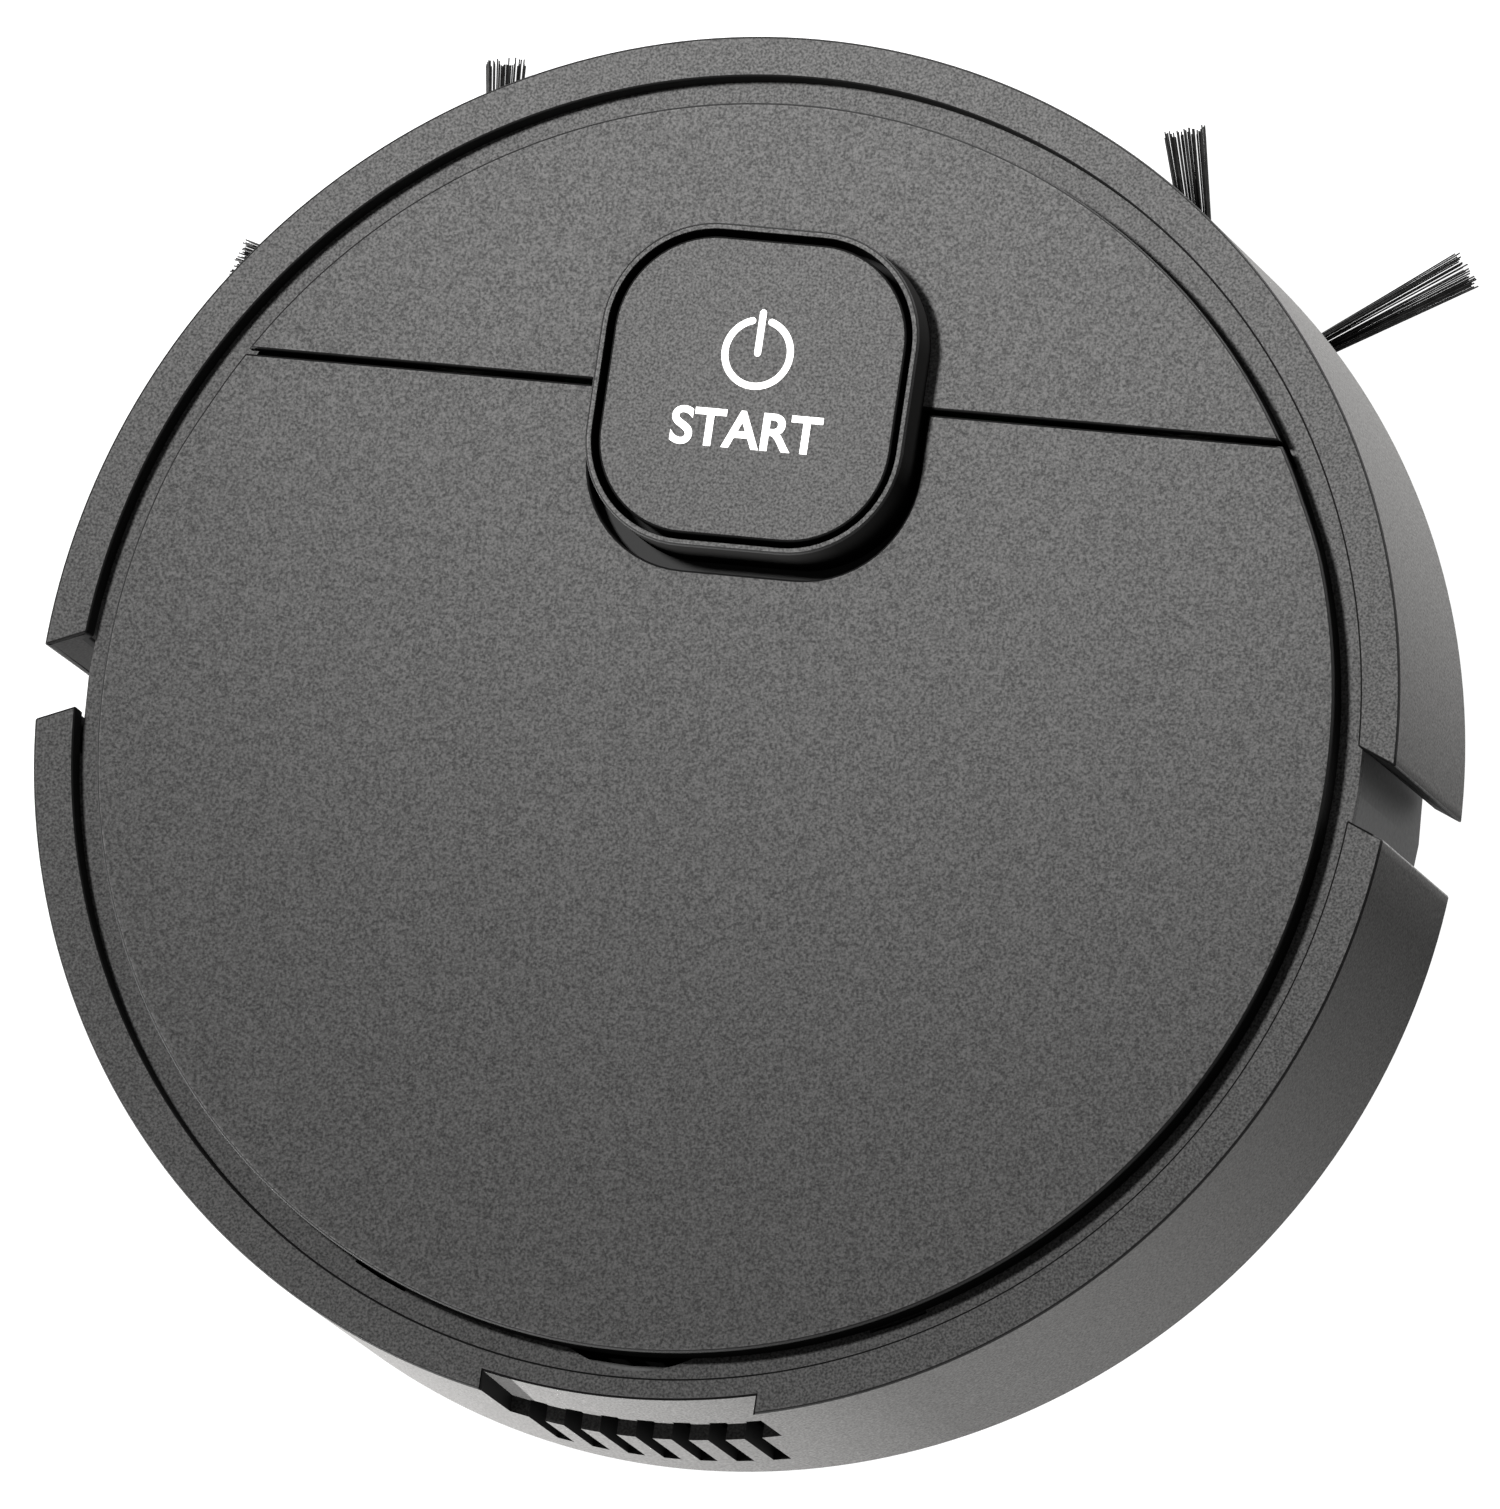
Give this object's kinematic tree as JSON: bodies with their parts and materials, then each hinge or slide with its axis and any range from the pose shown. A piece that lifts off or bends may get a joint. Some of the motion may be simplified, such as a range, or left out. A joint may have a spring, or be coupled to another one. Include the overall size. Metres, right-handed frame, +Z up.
{
  "type": "robot vacuum",
  "caption": "Round robot vacuum with a sprung front bumper, hinged bin lid, raised power button, two drive wheels, a caster and side brushes.",
  "frame": {"origin": "on the floor under the centre of the round body, midway between the drive wheels", "axes": "+Z up, +Y is the driving direction (bumper in front), +X to the robot's right"},
  "size_m": [0.2496, 0.252, 0.064],
  "materials": {
    "shell": "fine speckled matt charcoal",
    "chassis": "matt black",
    "black_plastic": "satin black",
    "smoked_plastic": "gloss, smoked",
    "tyre": "matt moulded",
    "rubber": "matt",
    "bristle": "glossy nylon filaments",
    "steel": "satin",
    "motor_can": "satin",
    "circuit_board": "solder mask",
    "filter_paper": "pleated paper",
    "caster_wheel": "satin white nylon",
    "fan_plastic": "satin",
    "battery_wrap": "shrink sleeve"
  },
  "bodies": {
    "root": {"chassis": "chassis", "top_deck": "shell", "rear_shell": "shell", "front_panel": "shell", "button_spring": "steel", "button_board": "circuit_board", "power_switch": "black_plastic", "dust_bin": "smoked_plastic", "dust_bin_cover": "smoked_plastic", "hepa_filter": "filter_paper", "suction_inlet": "chassis", "suction_lip": "rubber", "fan_housing": "black_plastic", "fan_motor": "motor_can", "battery_pack": "battery_wrap", "battery_cover": "chassis", "main_board": "circuit_board", "charge_jack": "black_plastic", "cliff_sensor_left": "smoked_plastic", "cliff_sensor_centre": "smoked_plastic", "cliff_sensor_right": "smoked_plastic", "left_hinge_pin": "steel", "right_hinge_pin": "steel", "left_bump_sensor": "black_plastic", "right_bump_sensor": "black_plastic", "left_bumper_spring": "steel", "right_bumper_spring": "steel", "left_pivot_pin": "steel", "right_pivot_pin": "steel", "left_brush_motor": "motor_can", "right_brush_motor": "motor_can", "left_chassis_screw_1": "steel", "left_chassis_screw_2": "steel", "left_chassis_screw_3": "steel", "right_chassis_screw_1": "steel", "right_chassis_screw_2": "steel", "right_chassis_screw_3": "steel"},
    "bumper": {"bumper": "shell"},
    "lid": {"lid": "shell"},
    "button": {"button_cap": "shell"},
    "left_drive": {"left_gearbox": "black_plastic", "left_drive_motor": "motor_can", "left_suspension_spring": "steel"},
    "right_drive": {"right_gearbox": "black_plastic", "right_drive_motor": "motor_can", "right_suspension_spring": "steel"},
    "left_wheel": {"left_wheel_hub": "black_plastic", "left_tyre": "tyre"},
    "right_wheel": {"right_wheel_hub": "black_plastic", "right_tyre": "tyre"},
    "caster": {"caster_fork": "black_plastic"},
    "caster_roller": {"caster_wheel": "caster_wheel", "caster_axle": "steel"},
    "left_brush": {"left_brush_hub": "black_plastic", "left_brush_bristles": "bristle", "left_brush_screw": "steel"},
    "right_brush": {"right_brush_hub": "black_plastic", "right_brush_bristles": "bristle", "right_brush_screw": "steel"},
    "fan": {"fan_impeller": "fan_plastic"}
  },
  "joints": [
    {"name": "lid_hinge", "type": "hinge", "parent": "root", "child": "lid", "pos_m": [0, 0.0555, 0.0531], "axis": [-1, 0, 0], "range_deg": [0, 80]},
    {"name": "power_button_press", "type": "slide", "parent": "root", "child": "button", "axis": [0, 0, -1], "range_m": [0, 0.0012], "stiffness_N_per_m": 400, "springref_m": -0.003, "deforming": ["button_spring"]},
    {"name": "bumper_push", "type": "slide", "parent": "root", "child": "bumper", "axis": [0, -1, 0], "range_m": [0, 0.004], "stiffness_N_per_m": 300, "springref_m": -0.004, "deforming": ["left_bumper_spring", "right_bumper_spring"]},
    {"name": "left_suspension", "type": "hinge", "parent": "root", "child": "left_drive", "pos_m": [-0.063, 0.03, 0.024], "axis": [1, 0, 0], "range_deg": [0, 15], "stiffness_Nm_per_rad": 0.1, "springref_deg": 40.11},
    {"name": "right_suspension", "type": "hinge", "parent": "root", "child": "right_drive", "pos_m": [0.063, 0.03, 0.024], "axis": [1, 0, 0], "range_deg": [0, 15], "stiffness_Nm_per_rad": 0.1, "springref_deg": 40.11},
    {"name": "left_wheel_spin", "type": "hinge", "parent": "left_drive", "child": "left_wheel", "pos_m": [-0.088, 0, 0.023], "axis": [-1, 0, 0], "continuous": true},
    {"name": "right_wheel_spin", "type": "hinge", "parent": "right_drive", "child": "right_wheel", "pos_m": [0.088, 0, 0.023], "axis": [-1, 0, 0], "continuous": true},
    {"name": "caster_swivel", "type": "hinge", "parent": "root", "child": "caster", "pos_m": [0, 0.086, 0.02], "axis": [0, 0, 1], "continuous": true},
    {"name": "caster_roll", "type": "hinge", "parent": "caster", "child": "caster_roller", "pos_m": [0, 0.0815, 0.0085], "axis": [-1, 0, 0], "continuous": true},
    {"name": "left_brush_spin", "type": "hinge", "parent": "root", "child": "left_brush", "pos_m": [-0.067, 0.0765, 0.007], "axis": [0, 0, 1], "continuous": true},
    {"name": "right_brush_spin", "type": "hinge", "parent": "root", "child": "right_brush", "pos_m": [0.067, 0.0765, 0.007], "axis": [0, 0, 1], "continuous": true},
    {"name": "fan_spin", "type": "hinge", "parent": "root", "child": "fan", "pos_m": [0, -0.093, 0.029], "axis": [0, 1, 0], "continuous": true}
  ]
}
